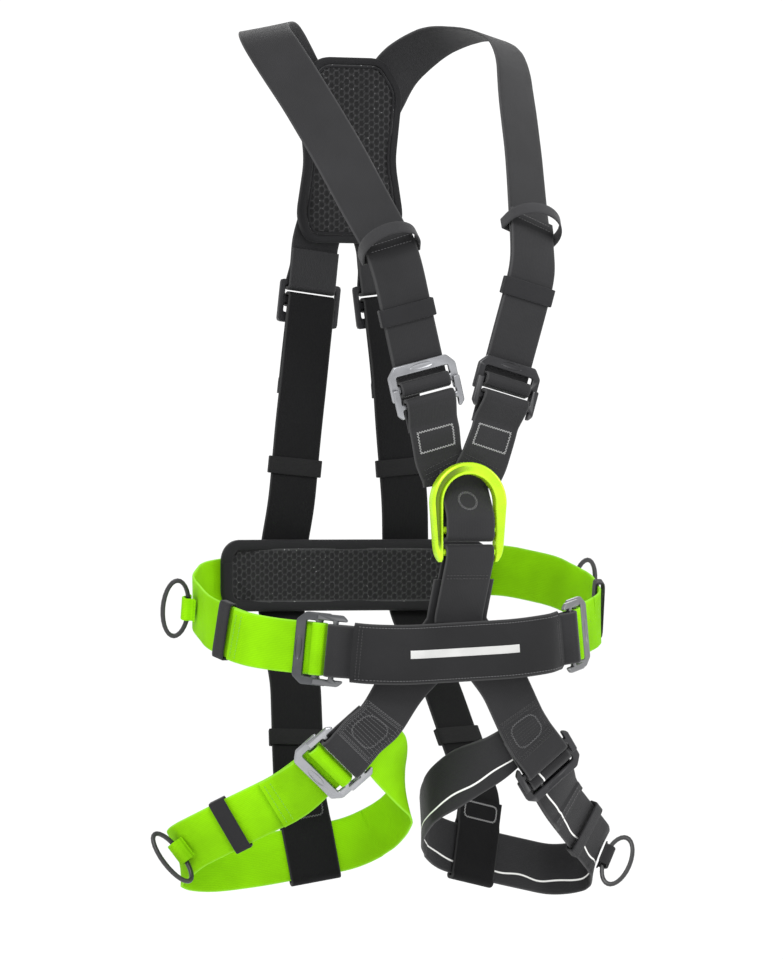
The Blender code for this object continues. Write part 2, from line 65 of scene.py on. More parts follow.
BODY_OF = {node: body for body, nodes in frame["record"]["behaviour"]["bodies"].items() for node in nodes}
JOINTS = {joint["name"]: joint for joint in frame["joints"]}

WEB = 45 * MM               # webbing width, as in the CAD
THICK = 2 * MM              # webbing thickness, as in the CAD
RING_TAB = (20 * MM, 1.4 * MM)
NEAR = 0.02 * MM            # two CAD lengths closer than this are the same
JOIN = 0.001 * MM
SHARP = math.radians(60)
BRIDGE = 60 * MM            # widest gap closed in a side line
STEP = 2.4 * MM             # longest stretch between two sections of webbing
THREAD = 0.36 * MM          # radius of the sewing thread
ROLL_REACH = 6 * MM         # half the length over which a turn round a bar is measured
ROLL_SHARE = 0.55           # how much thicker webbing looks in such a turn
ROLL_BEND = (0.1, 0.8)      # cosines: where a bend starts to count as a turn, and how much more is a full one
HEM = 13 * MM               # length folded over at a loose end
HEM_LIFT = 1.3 * MM         # how far a hem stands above its webbing
HEM_RISE = 0.9 * MM         # length over which it rises
WAVES = 0.12 * MM           # how far webbing strays from a plain sweep
COLUMNS = 11                # points across one face of webbing
ZIGZAG = 1.25               # mm between the stitches of a zigzag row
BORDER_STEP = 3 * MM        # distance between the sections of a pad's border
CORNER_TURNS = (0, 22.5, 45, 67.5, 90)
SIDES = (("r", -1), ("l", 1))


# ---- small helpers

def clamp(value):
    return min(max(value, 0), 1)


def placed(name, data):
    """A new object in the scene that holds a mesh, lamp or camera."""
    obj = bpy.data.objects.new(name, data)
    bpy.context.scene.collection.objects.link(obj)
    return obj


def new_mesh(name, bm):
    mesh = bpy.data.meshes.new(name)
    bm.to_mesh(mesh)
    bm.free()
    return mesh


def skin(bm, rings, closed=False):
    """Faces from each ring of corners to the next, and from the last to the first if closed."""
    for a, b in zip(rings, rings[1:] + (rings[:1] if closed else [])):
        for k in range(len(a)):
            j = (k + 1) % len(a)
            bm.faces.new((a[k], a[j], b[j], b[k]))


def end_caps(bm, rings):
    bm.faces.new(rings[0][::-1])
    bm.faces.new(rings[-1])


# ---- materials

class Look:
    """A Principled material, with short calls that add nodes to it."""

    def __init__(self, name, colour, rough, **sockets):
        self.material = bpy.data.materials.new(name)
        self.material.use_nodes = True
        self.nodes = self.material.node_tree.nodes
        self.shader = self.nodes["Principled BSDF"]
        self.shader.inputs["Base Color"].default_value = (*colour, 1)
        self.shader.inputs["Roughness"].default_value = rough
        for key, value in sockets.items():
            self.shader.inputs[key.replace("_", " ")].default_value = value

    def feed(self, socket, value):
        if isinstance(value, bpy.types.NodeSocket):
            self.material.node_tree.links.new(value, socket)
        else:
            socket.default_value = value

    def add(self, kind, inputs, **settings):
        node = self.nodes.new("ShaderNode" + kind)
        for key, value in settings.items():
            setattr(node, key, value)
        for key, value in inputs.items():
            self.feed(node.inputs[key], value)
        return node

    def math(self, operation, *values):
        return self.add("Math", dict(enumerate(values)), operation=operation).outputs[0]

    def mix(self, share, a, b):
        return self.add("Mix", {0: share, 6: a, 7: b}, data_type="RGBA").outputs[2]

    def between(self, value, low, high, out_low=0.0, out_high=1.0):
        inputs = {"Value": value, "From Min": low, "From Max": high, "To Min": out_low, "To Max": out_high}
        return self.add("MapRange", inputs).outputs[0]

    def noise(self, vector, scale, detail=3.0):
        return self.add("TexNoise", {"Vector": vector, "Scale": scale, "Detail": detail}).outputs["Fac"]

    def place(self):
        return self.add("TexCoord", {}).outputs["Object"]

    def attribute(self, name):
        return self.add("Attribute", {}, attribute_name=name)

    def bump(self, height, distance, strength=1.0, normal=None):
        inputs = {"Height": height, "Distance": distance, "Strength": strength}
        if normal:
            inputs["Normal"] = normal
        return self.add("Bump", inputs).outputs[0]

    def finish(self, colour=None, rough=None, normal=None):
        for key, value in (("Base Color", colour), ("Roughness", rough), ("Normal", normal)):
            if value is not None:
                self.feed(self.shader.inputs[key], value)
        return self.material


def rgba(colour, gain=1.0):
    return (colour[0] * gain, colour[1] * gain, colour[2] * gain, 1)


SELVEDGE = (20.6, 22.6)             # mm from the middle over which webbing turns paler
TRACER_WAVE = (46, 1.1)             # mm: length and swing of the tracer's wave
TRACER_EDGE = (0.55, 0.95)          # mm from the tracer's middle over which it fades
TRACER_TONE = (0.78, 0.78, 0.76, 1)
FUZZ_SCALE = 2600.0
TONE_SCALE = 11.0


def woven(name, colour, rib=1.5, pick=1.1, relief=0.16, tracer=None, sheen=0.1, gloss=0.2):
    """Webbing: ribs along it, picks across it, painted shade in the weave's low parts, a paler selvedge and slow
    changes of tone.
    """
    look = Look(name, colour, 0.72, Sheen_Weight=sheen, Sheen_Roughness=0.4, Specular_IOR_Level=gloss)
    split = look.add("SeparateXYZ", {0: look.attribute("lay").outputs["Vector"]}).outputs
    along, across = split[0], split[1]
    ribs = look.math("SINE", look.math("MULTIPLY", across, math.tau / rib))
    slant = look.math("MULTIPLY", across, math.pi / rib)
    picks = look.math("SINE", look.math("ADD", look.math("MULTIPLY", along, math.tau / pick), slant))
    weave = look.between(look.math("ADD", look.math("MULTIPLY", ribs, 0.6), picks), -1.6, 1.6)
    fuzz = look.noise(look.place(), FUZZ_SCALE, 2.0)
    tone = look.noise(look.place(), TONE_SCALE, 4.0)
    height = look.math("ADD", weave, look.math("MULTIPLY", fuzz, 0.35))
    base = look.mix(look.between(tone, 0.3, 0.7), rgba(colour, 0.72), rgba(colour, 1.3))
    # painted shade: the colour darkens where the weave is low
    base = look.mix(look.between(weave, 0.0, 1.0), look.mix(0.4, base, rgba(colour, 0.35)), base)
    edge = look.between(look.math("ABSOLUTE", across), *SELVEDGE, 0.0, 0.45)
    pale = rgba([0.75 * c + 0.05 for c in colour], 1.35)
    base = look.mix(edge, base, pale)
    if tracer:
        length, swing = TRACER_WAVE
        wave = look.math("SINE", look.math("MULTIPLY", along, math.tau / length))
        wave = look.math("MULTIPLY", wave, swing)
        away = look.math("ABSOLUTE", look.math("SUBTRACT", look.math("SUBTRACT", across, wave), tracer))
        base = look.mix(look.between(away, *TRACER_EDGE, 1.0, 0.0), base, TRACER_TONE)
    return look.finish(base, None, look.bump(height, relief * MM))


def mesh_cloth(name):
    """Open mesh over foam: pale bound threads round dark cells, with a few bright glints. The cells darken with
    their pressed depth, partly the foam's own colour and partly painted shade; the glints are painted highlights.
    """
    look = Look(name, (0.02, 0.02, 0.021), 0.7, Sheen_Weight=0.08, Specular_IOR_Level=0.2)
    cell = look.attribute("cell").outputs["Fac"]
    place = look.place()
    thread = look.noise(place, 1500.0, 2.0)
    glint = look.between(look.noise(place, 900.0, 1.0), 0.72, 0.76)
    pale = look.mix(thread, (0.016, 0.016, 0.017, 1), (0.06, 0.06, 0.062, 1))
    # partly the foam's own dark colour, partly painted shade: darker with the cell's pressed depth
    base = look.mix(cell, pale, (0.004, 0.004, 0.0045, 1))
    # painted highlight: bright glints on the threads
    base = look.mix(look.math("MULTIPLY", glint, look.between(cell, 0.6, 0.2)), base, (0.5, 0.5, 0.5, 1))
    return look.finish(base, None, look.bump(thread, 0.25 * MM))


def thread_look(name, colour):
    look = Look(name, colour, 0.6, Sheen_Weight=0.2)
    twist = look.noise(look.place(), 3000.0, 2.0)
    base = look.mix(twist, rgba(colour, 0.7), rgba(colour, 1.25))
    return look.finish(base, None, look.bump(twist, 0.1 * MM))


def alloy(name, colour, rough, metal=1.0, worn=0.5, groove=None):
    """Machined metal: faint drawn lines, uneven gloss and bare edges; the last argument is a colour painted into a
    channel as shade.
    """
    look = Look(name, colour, rough, Metallic=metal)
    place = look.place()
    stretched = look.add("Mapping", {"Vector": place, "Scale": (900, 60, 900)}).outputs[0]
    lines = look.noise(stretched, 1.0, 3.0)
    cloud = look.noise(place, 60.0, 4.0)
    bare = look.between(look.add("NewGeometry", {}).outputs["Pointiness"], 0.53, 0.60, 0.0, worn)
    base = look.mix(look.between(cloud, 0.3, 0.7), rgba(colour, 0.88), rgba(colour, 1.08))
    base = look.mix(bare, base, rgba([min(0.75 * c + 0.15, 0.95) for c in colour]))
    if groove:
        # painted shade: the channel is darkened towards that colour by its depth
        base = look.mix(look.attribute("groove").outputs["Fac"], base, rgba(groove))
    gloss = look.between(look.math("ADD", cloud, lines), 0.7, 1.3, rough - 0.08, rough + 0.1)
    return look.finish(base, gloss, look.bump(lines, 0.04 * MM))


def moulded(name, colour, rough):
    look = Look(name, colour, rough)
    grain = look.noise(look.place(), 1400.0, 3.0)
    cloud = look.noise(look.place(), 45.0, 3.0)
    gloss = look.between(cloud, 0.3, 0.7, rough - 0.07, rough + 0.1)
    base = look.mix(cloud, rgba(colour, 0.8), rgba(colour, 1.3))
    return look.finish(base, gloss, look.bump(grain, 0.06 * MM))


BLACK = (0.018, 0.018, 0.0193)
SHADED_BLACK = (0.005, 0.005, 0.0055)     # black webbing darkened as painted shade, for the webbing at the back
LIME = (0.22, 0.56, 0.001)
LOOKS = {
    "black": woven("webbing_black", BLACK),
    # painted shade: a darker copy of the black webbing
    "deep": woven("webbing_rear", SHADED_BLACK, sheen=0.02, gloss=0.12),
    "lime": woven("webbing_lime", LIME, sheen=0.0, gloss=0.07),
    "tracer": woven("webbing_tracer", BLACK, tracer=-11.0),
    "sleeve": woven("sleeve_fabric", (0.012, 0.012, 0.013), 0.9, 0.9, 0.1),
    "elastic": woven("keeper_elastic", (0.014, 0.014, 0.0155), 2.1, 1.4, 0.22),
    # painted shade: a darker copy of the keeper elastic
    "deep_elastic": woven("keeper_elastic_rear", (0.006, 0.006, 0.0065), 2.1, 1.4, 0.22, sheen=0.03),
    "park": woven("park_loop_webbing", (0.032, 0.032, 0.034), 1.5, 1.2, 0.16),
    "binding": woven("pad_binding", (0.008, 0.008, 0.009), 1.2, 1.0, 0.1, sheen=0.05),
    "mesh": mesh_cloth("pad_mesh"),
    "pale_thread": thread_look("thread_grey", (0.24, 0.24, 0.24)),
    "dark_thread": thread_look("thread_black", (0.008, 0.008, 0.009)),
    "mid_thread": thread_look("thread_dark_grey", (0.065, 0.065, 0.068)),
    "lime_thread": thread_look("thread_lime", (0.14, 0.40, 0.003)),
    "silver": alloy("alloy_silver", (0.29, 0.295, 0.31), 0.34),
    "dark": alloy("alloy_black", (0.018, 0.018, 0.02), 0.4, 0.5, 0.3),
    "grey": alloy("steel_grey", (0.085, 0.088, 0.093), 0.36, 0.95),
    "pale_grey": alloy("steel_mid_grey", (0.19, 0.193, 0.2), 0.36, 0.95),
    # painted shade: the last colour is the darker lime painted into the ring's channel
    "ring": alloy("alloy_lime", (0.44, 0.74, 0.012), 0.3, 0.45, 0.0, (0.13, 0.21, 0.008)),
    "plastic": moulded("ring_plastic", (0.012, 0.012, 0.013), 0.38),
    "label": woven("plain_label", (0.58, 0.58, 0.57), 0.8, 0.8, 0.08, sheen=0.0),
}


def add_piece(name, mesh, look, body, *nodes):
    """Put a finished mesh in the scene: it rides on a body and stands for the CAD nodes named."""
    mesh.materials.clear()
    mesh.materials.append(LOOKS[look])
    obj = placed(name, mesh)
    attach(obj, body)
    if nodes:
        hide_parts(*nodes)
    return obj


def mesh_from(name, bm, angle):
    bmesh.ops.recalc_face_normals(bm, faces=bm.faces)
    mesh = new_mesh(name, bm)
    mesh.shade_smooth()
    mesh.set_sharp_from_angle(angle=math.radians(angle))
    return mesh


# ---- reading the frame

def clean(node):
    """A CAD node's solid, with its split corners joined."""
    bm = bmesh.new()
    bm.from_mesh(frame["nodes"][node].data)
    bmesh.ops.remove_doubles(bm, verts=bm.verts, dist=JOIN)
    bm.verts.ensure_lookup_table()
    bm.verts.index_update()
    return bm


def thickness_pairs(bm, thick):
    """Corner pairs across a strap's thickness: {corner: (corner, corner)}."""
    tree = KDTree(len(bm.verts))
    for vert in bm.verts:
        tree.insert(vert.co, vert.index)
    tree.balance()
    best = {}
    for vert in bm.verts:
        error, j = min((abs(d - thick), j) for _, j, d in tree.find_range(vert.co, thick + NEAR))
        if error < NEAR:
            best[vert.index] = j
    return {i: (min(i, j), max(i, j)) for i, j in best.items() if best.get(j) == i}


def is_rail(edge, width):
    """True for an edge that runs along a strap's side: sharp, and on one broad face only."""
    def rung(e):
        return abs(e.calc_length() - width) < 8 * NEAR
    broad = all(any(rung(e) for e in face.edges if e is not edge) for face in edge.link_faces)
    return edge.calc_face_angle(0) > SHARP and not rung(edge) and not broad


def side_lines(node, width, thick):
    """Runs of points along the sides of a strap's CAD solid, midway through its thickness."""
    bm = clean(node)
    pair = thickness_pairs(bm, thick)
    middle = {p: (bm.verts[p[0]].co + bm.verts[p[1]].co) / 2 for p in pair.values()}
    follow = {}
    for edge in bm.edges:
        a, b = (pair.get(vert.index) for vert in edge.verts)
        if a and b and a != b and is_rail(edge, width):
            follow.setdefault(a, set()).add(b)
            follow.setdefault(b, set()).add(a)
    bm.free()
    lines = []
    for start in sorted(p for p in follow if len(follow[p]) == 1):
        if any(start in line for line in lines):
            continue
        line = [start]
        ahead = follow[start]
        while ahead:
            line.append(min(ahead, key=lambda p: (middle[p] - middle[line[-1]]).length))
            ahead = [p for p in follow[line[-1]] if p not in line]
        lines.append(line)
    return bridged([[middle[p] for p in line] for line in lines])


def bridged(lines):
    """The side lines, with two that point at each other across a short gap made one."""
    for i, a in enumerate(lines):
        for j, b in enumerate(lines):
            for first in (a, a[::-1]):
                for second in (b, b[::-1]):
                    if i != j and points_at(first, second):
                        rest = [line for k, line in enumerate(lines) if k not in (i, j)]
                        return bridged(rest + [first + second])
    return lines


def points_at(first, second):
    """True if a line's end heads straight for another's start, and the other goes on that way."""
    gap = second[0] - first[-1]
    headings = [(first[-1] - first[-2]).normalized(), (second[1] - second[0]).normalized()]
    return 0 < gap.length < BRIDGE and min(gap.normalized().dot(h) for h in headings) > 0.95


def sections_between(near_line, far_line, width):
    """(centre, width direction) pairs where two side lines lie one width apart."""
    if (near_line[0] - far_line[0]).length > (near_line[0] - far_line[-1]).length:
        far_line = far_line[::-1]
    made = []
    for i, near in enumerate(near_line):
        window = far_line[max(i - 4, 0):i + 5]
        far = min(window, key=lambda p: abs((p - near).length - width), default=None)
        if far is not None and abs((far - near).length - width) < NEAR:
            made.append(((near + far) / 2, (far - near).normalized()))
    return made


def middle_sections(node, width, thick):
    """(centre, width direction) pairs along the middle of a strap's CAD solid."""
    lines = side_lines(node, width, thick)
    tries = [sections_between(a, b, width) for i, a in enumerate(lines) for b in lines[i + 1:]]
    return max(tries, key=len)


def heading_at(points, i):
    """Direction of an open line at one of its points."""
    return (points[min(i + 1, len(points) - 1)] - points[max(i - 1, 0)]).normalized()


class Strap:
    """A length of webbing: fine sections along the middle line of its CAD solid."""

    def __init__(self, node, width=WEB, thick=THICK):
        self.node = node
        self.width = width
        self.thick = thick
        self.body = BODY_OF[node]
        rough = middle_sections(node, width, thick)
        self.centres = []
        self.across = []
        last = len(rough) - 1
        heading = [heading_at([centre for centre, _ in rough], i) for i in range(last + 1)]
        for i in range(last):
            (a, side_a), (b, side_b) = rough[i], rough[i + 1]
            span = (b - a).length
            count = max(math.ceil(span / STEP), 2 if span > 0.6 * MM else 1)
            for k in range(count):
                t = k / count
                lead = heading[i] * span * (t ** 3 - 2 * t ** 2 + t)
                trail = heading[i + 1] * span * (t ** 3 - t ** 2)
                blend = t * t * (3 - 2 * t)
                self.centres.append(a.lerp(b, blend) + lead + trail)
                self.across.append(side_a.lerp(side_b, t).normalized())
        self.centres.append(rough[-1][0])
        self.across.append(rough[-1][1])
        self.measure()

    def measure(self):
        self.runs = [0.0]
        for a, b in zip(self.centres, self.centres[1:]):
            self.runs.append(self.runs[-1] + (b - a).length)
        self.length = self.runs[-1]
        self.normals = [heading_at(self.centres, i).cross(a).normalized() for i, a in enumerate(self.across)]
        self.rolls = [self.roll(i) for i in range(len(self.centres))]

    def roll(self, i):
        """How far the webbing turns back on itself here, from 0 to 1, and the side it turns away from."""
        before = self.at(max(self.runs[i] - ROLL_REACH, 0))
        after = self.at(min(self.runs[i] + ROLL_REACH, self.length))
        weight = clamp((ROLL_BEND[0] - before[1].dot(after[1])) / ROLL_BEND[1])
        away = self.centres[i] - (before[0] + after[0]) / 2
        return weight, 1 if self.normals[i].dot(away) > 0 else -1

    def part(self, start, end):
        """The same strap between two distances along it."""
        piece = object.__new__(Strap)
        piece.__dict__.update(self.__dict__)
        kept = [i for i, run in enumerate(self.runs) if start <= run <= end]
        piece.centres = [self.centres[i] for i in kept]
        piece.across = [self.across[i] for i in kept]
        piece.measure()
        return piece

    def at(self, run):
        """(centre, direction, width direction, normal) at a distance along."""
        i = max(k for k, start in enumerate(self.runs[:-1]) if start <= run or k == 0)
        share = clamp((run - self.runs[i]) / (self.runs[i + 1] - self.runs[i]))
        along = (self.centres[i + 1] - self.centres[i]).normalized()
        across = self.across[i].lerp(self.across[i + 1], share).normalized()
        centre = self.centres[i].lerp(self.centres[i + 1], share)
        return centre, along, across, along.cross(across).normalized()

    def outer(self, run):
        """1 where the normal points away from the harness's middle, else -1."""
        centre, _, _, normal = self.at(run)
        return 1 if normal.x * centre.x + normal.y * centre.y > 0 else -1


def flat_profile(width, thick):
    """Closed section of webbing from its left edge: (across, height) points with round selvedges."""
    half = thick / 2
    reach = width / 2 - half
    top = [(-reach + 2 * reach * k / (COLUMNS - 1), half) for k in range(COLUMNS)]
    turns = [math.radians(d) for d in (40, 90, 140)]
    right = [(reach + half * math.sin(a), half * math.cos(a)) for a in turns]
    return top + right + [(-x, -z) for x, z in top] + [(-x, -z) for x, z in right]


def sweep(strap, profile, hems=(), waves=0.0):
    """Webbing mesh along a strap. Each hem is (start, end, side): a doubled stretch on one side."""
    bm = bmesh.new()
    lay = bm.verts.layers.float_vector.new("lay")
    rings = []
    sections = zip(strap.centres, strap.across, strap.normals, strap.runs, strap.rolls)
    for centre, across, normal, run, (rolled, roll_side) in sections:
        ring = []
        ripple = waves * math.sin(run * 41) * math.sin(run * 17 + 1)
        for x, z in profile:
            lift = 0.0
            if z * roll_side > 0:
                lift = roll_side * rolled * ROLL_SHARE * strap.thick
            for start, end, side in hems:
                inside = min(run - start, end - run) / HEM_RISE
                if z * side > 0:
                    lift += side * HEM_LIFT * clamp(inside + 0.5)
            edge = waves * math.sin(run * 63 + (2 if x > 0 else 0)) * (x / strap.width * 2)
            vert = bm.verts.new(centre + across * (x + edge) + normal * (z + lift + ripple))
            vert[lay] = (run / MM, x / MM, z / MM)
            ring.append(vert)
        rings.append(ring)
    skin(bm, rings)
    end_caps(bm, rings)
    return bm


def webbing(strap, look, hems=(), waves=WAVES):
    bm = sweep(strap, flat_profile(strap.width, strap.thick), hems, waves)
    name = strap.node + "_woven"
    return add_piece(name, mesh_from(name, bm, 50), look, strap.body, strap.node)


# ---- sewing

def spread(points, pitch):
    """Points a stitch apart along an open line of (run, across) points, with the line's direction."""
    made = []
    left = pitch / 2
    for a, b in zip(points, points[1:]):
        step = Vector(b) - Vector(a)
        length = step.length
        while left < length:
            made.append((Vector(a) + step * (left / length), step / length))
            left += pitch
        left -= length
    return made


def corner_arcs(a, b, radius):
    """The rounded corners of a box of half sizes a and b, one list of (x, y) for each."""
    arcs = []
    for cx, cy, start in ((1, 1, 0), (-1, 1, 90), (-1, -1, 180), (1, -1, 270)):
        turns = [math.radians(start + turn) for turn in CORNER_TURNS]
        middle = (cx * (a - radius), cy * (b - radius))
        arcs.append([(middle[0] + radius * math.cos(t), middle[1] + radius * math.sin(t)) for t in turns])
    return arcs


def box_run(run, width, length, radius=0.0):
    """Outline of a sewn box, in mm: width across the webbing and length along it."""
    a, b = length / 2, width / 2
    if not radius:
        return [(run - a, -b), (run + a, -b), (run + a, b), (run - a, b), (run - a, -b)]
    made = [(run + x, y) for arc in corner_arcs(a, b, radius) for x, y in arc]
    return made + made[:1]


def sew(name, strap, lines, look, side, pitch=2.9, thread=THREAD, lift=0.0, swing=0.0):
    """Rows of stitches on one face of a strap: each stitch is a short rounded length of thread.

    A swing, in mm, makes the row a zigzag."""
    bm = bmesh.new()
    height = strap.thick / 2 + thread * 0.35 + lift
    for line in lines:
        for number, ((run, x), (turn_run, turn_x)) in enumerate(spread(line, pitch)):
            centre, along, across, normal = strap.at(run * MM)
            reach = (along * turn_run + across * turn_x).normalized() * pitch * (0.5 if swing else 0.4) * MM
            reach += (along * -turn_x + across * turn_run).normalized() * swing * (-1) ** number * MM
            middle = centre + across * x * MM + normal * side * height
            stitch(bm, middle - reach, middle + reach, normal * side, thread)
    return add_piece(name, mesh_from(name, bm, 80), look, strap.body)


def stitch(bm, start, end, up, radius):
    """One stitch: a thread that dips into the cloth at both ends."""
    along = (end - start).normalized()
    side = along.cross(up).normalized()
    rings = []
    turns = [math.tau * k / 5 for k in range(5)]
    for share in (0.18, 0.82):
        centre = start.lerp(end, share)
        spokes = [(up * math.sin(t) * 0.8 + side * math.cos(t)) * radius for t in turns]
        rings.append([bm.verts.new(centre + spoke) for spoke in spokes])
    tips = [bm.verts.new(start - up * radius * 0.9), bm.verts.new(end - up * radius * 0.9)]
    for k in range(5):
        j = (k + 1) % 5
        bm.faces.new((tips[0], rings[0][j], rings[0][k]))
        bm.faces.new((rings[0][k], rings[0][j], rings[1][j], rings[1][k]))
        bm.faces.new((tips[1], rings[1][k], rings[1][j]))


def rows(start, end, count, half=19.5):
    """Two or more parallel rows of stitches across the webbing."""
    runs = [start + (end - start) * k / (count - 1) for k in range(count)]
    return [[(run, -half), (run, half)] for run in runs]


# ---- hardware

def extent(points, axis):
    """(length, middle) of points along an axis."""
    values = [p.dot(axis) for p in points]
    return max(values) - min(values), (max(values) + min(values)) / 2


def box_frame(node):
    """Frame of a flat CAD node, and its spans: z is its flat normal, x its longest direction."""
    bm = clean(node)
    normals = {}
    for face in bm.faces:
        key = tuple(round(abs(c), 2) for c in face.normal)
        normals.setdefault(key, [0.0, face.normal.copy()])[0] += face.calc_area()
    z = max(normals.values(), key=lambda item: item[0])[1]
    if z.y > 0:
        z = -z
    points = [v.co.copy() for v in bm.verts]
    bm.free()
    centre = sum(points, Vector()) / len(points)
    flat = [p - centre - z * (p - centre).dot(z) for p in points]
    start = max(flat, key=lambda p: p.length).normalized()
    sideways = z.cross(start)
    best = None
    for k in range(180):
        angle = math.radians(k)
        x = start * math.cos(angle) + sideways * math.sin(angle)
        y = z.cross(x)
        wide, tall = extent(flat, x)[0], extent(flat, y)[0]
        if best is None or wide * tall < best[0] * best[1]:
            best = (wide, tall, x, y)
    wide, tall, x, y = best
    if tall > wide:
        x, y = y, -x
    spans = [extent(points, axis) for axis in (x, y, z)]
    made = Matrix((x, y, z)).transposed().to_4x4()
    made.translation = sum((axis * middle for axis, (_, middle) in zip((x, y, z), spans)), Vector())
    return made, [length for length, _ in spans]


def joined_plate(node):
    """A CAD plate's solid with its flat faces whole again."""
    bm = clean(node)
    bmesh.ops.dissolve_limit(bm, angle_limit=math.radians(1), verts=bm.verts, edges=bm.edges)
    return bm


def settled(obj):
    """The object's mesh with its modifiers applied; the object is removed."""
    bpy.context.view_layer.update()
    graph = bpy.context.evaluated_depsgraph_get()
    mesh = bpy.data.meshes.new_from_object(obj.evaluated_get(graph))
    bpy.data.objects.remove(obj)
    return mesh


def hardware(node, look, rounding=0.3 * MM, dish=None):
    """A plate from the CAD with rounded edges and, if dish is given, a shallow thumb recess."""
    obj = placed(node + "_work", new_mesh(node, joined_plate(node)))
    tool = None
    if dish:
        tool = ellipsoid(*dish)
        cut = obj.modifiers.new("recess", "BOOLEAN")
        cut.operation = "DIFFERENCE"
        cut.object = tool
    bevel = obj.modifiers.new("edges", "BEVEL")
    bevel.width = rounding
    bevel.segments = 2
    bevel.limit_method = "ANGLE"
    bevel.angle_limit = math.radians(28)
    made = settled(obj)
    if tool:
        bpy.data.objects.remove(tool)
    made.shade_smooth()
    made.set_sharp_from_angle(angle=math.radians(35))
    return add_piece(node + "_finished", made, look, BODY_OF[node], node)


def ellipsoid(place, spans):
    bm = bmesh.new()
    bmesh.ops.create_uvsphere(bm, u_segments=40, v_segments=20, radius=1.0)
    bmesh.ops.transform(bm, matrix=place @ Matrix.Diagonal((*spans, 1)), verts=bm.verts)
    return placed("recess", new_mesh("recess", bm))


def buckle(label, kind, look):
    """Buckle frame with a thumb recess in its long bar, and its swinging tongue."""
    node = f"{kind}_buckle_{label}_frame"
    place, (_, tall, deep) = box_frame(node)
    joint = JOINTS[f"{kind}_tongue_{label}_tilt"]
    toward = (Vector(joint["pos_m"]) - place.translation).dot(place.to_3x3() @ Vector((0, 1, 0)))
    sign = -1 if toward > 0 else 1
    spot = place @ Matrix.Translation((0, sign * (tall / 2 - 4.2 * MM), deep / 2 + 0.5 * MM))
    hardware(node, look, dish=(spot, (11 * MM, 2.9 * MM, 1.7 * MM)))
    hardware(f"{kind}_buckle_{label}_tongue", look)


RING_INNER = 24.4 * MM      # half the width of the ring's opening
RING_FOOT = 31 * MM         # half its width outside at the feet
RING_TAPER = 3.4 * MM       # how much narrower each foot ends
CHANNEL = 3.2 * MM          # depth of the channel down one limb
CROSS_BAR = 3 * MM          # radius of each bar that holds webbing
UPPER_BAR = 19 * MM         # height of the upper one above the lower
LIMB_STEPS = 24
ARCH_STEPS = 32


def ring_sections(top, arch, foot):
    """(centre, outward direction, half width) along the ring's bar, from its left foot over to its right."""
    limb = []
    for k in range(LIMB_STEPS + 1):
        t = k / LIMB_STEPS
        outer = RING_FOOT + (top - RING_FOOT) * t - RING_TAPER * max(1 - t / 0.3, 0) ** 2
        limb.append(((outer + RING_INNER) / 2, foot + (arch - foot) * t, (outer - RING_INNER) / 2))
    over = []
    for k in range(1, ARCH_STEPS):
        angle = math.pi - math.pi * k / ARCH_STEPS
        radial = Vector((math.cos(angle), math.sin(angle)))
        over.append((Vector((0, arch)) + radial * (top + RING_INNER) / 2, radial, (top - RING_INNER) / 2))
    left = [(Vector((-x, y)), Vector((-1, 0)), half) for x, y, half in limb]
    right = [(Vector((x, y)), Vector((1, 0)), half) for x, y, half in limb[::-1]]
    return left + over + right


def chest_ring():
    """Forged ring: a bar of changing section along an arch, with a channel down one limb."""
    low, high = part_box("chest_ring")
    pivot = Vector(JOINTS["chest_ring_tip"]["pos_m"])
    top = (high.x - low.x) / 2
    depth = (high.y - low.y) / 2
    sections = ring_sections(top, high.z - top - pivot.z, low.z - pivot.z)
    bm = bmesh.new()
    # painted shade mask: how far into the channel on the front face each corner lies
    groove = bm.verts.layers.float.new("groove")
    rings = []
    for i, (centre, radial, half) in enumerate(sections):
        share = i / (len(sections) - 1)
        channel = CHANNEL * clamp((0.52 - share) / 0.12) * clamp((share - 0.05) / 0.06)
        from_end = min(share, 1 - share) / 0.045
        full = math.sqrt(max(1 - max(1 - from_end, 0) ** 2, 0.08))
        ring = []
        for u, w in bar_section(half, depth * full, channel):
            flat = centre + radial * u
            vert = bm.verts.new(pivot + Vector((flat.x, -w, flat.y)))
            inside = abs(u) < half * 0.72 and w > 0
            vert[groove] = clamp((depth * full - w) / (2 * MM)) if inside else 0
            ring.append(vert)
        rings.append(ring)
    skin(bm, rings)
    end_caps(bm, rings)
    turn = Matrix.Rotation(math.radians(90), 4, "Y")
    for lift in (0.0, UPPER_BAR):
        at = Matrix.Translation(pivot + Vector((0, 0, lift)))
        bmesh.ops.create_cone(bm, cap_ends=True, segments=28, radius1=CROSS_BAR, radius2=CROSS_BAR,
                              depth=52 * MM, matrix=at @ turn)
    mesh = mesh_from("chest_ring_forged", bm, 32)
    add_piece("chest_ring_forged", mesh, "ring", BODY_OF["chest_ring"], "chest_ring")


# (share of the half width, share of the channel's depth) across the bar's front face
CHANNEL_SECTION = ((0.95, 0), (0.8, 0.35), (0.62, 0.9), (0.3, 1), (-0.3, 1), (-0.62, 0.9), (-0.8, 0.35),
                   (-0.95, 0))


def bar_section(half, depth, channel):
    """Rounded bar section, radial by depth, with a channel of that depth in its front face."""
    radius = min(2.3 * MM, half * 0.6)
    arcs = corner_arcs(half, depth, radius)
    face = [((half - radius) * share, depth - channel * drop) for share, drop in CHANNEL_SECTION]
    return arcs[0] + face + arcs[1] + arcs[2] + arcs[3]


# ---- pads

def middle_depth(tree, x, z):
    """The y midway between a pad's front and rear faces."""
    front, rear = (tree.ray_cast(Vector((x, -way, z)), Vector((0, way, 0)))[0] for way in (1, -1))
    return (front.y + rear.y) / 2


PAD_SHRINK = 0.9 * MM
VOXEL = 4 * MM
PRESSURE = 4
CLOTH_FRAMES = 20
CELL = (4.8, 6.6)           # mm: width and height of a mesh cell
CELL_EDGE = 0.34            # share of a cell that its thread slopes over
CELL_DEPTH = 0.75 * MM
BINDING_REACH = 5 * MM      # how far a pad's border reaches over the mesh


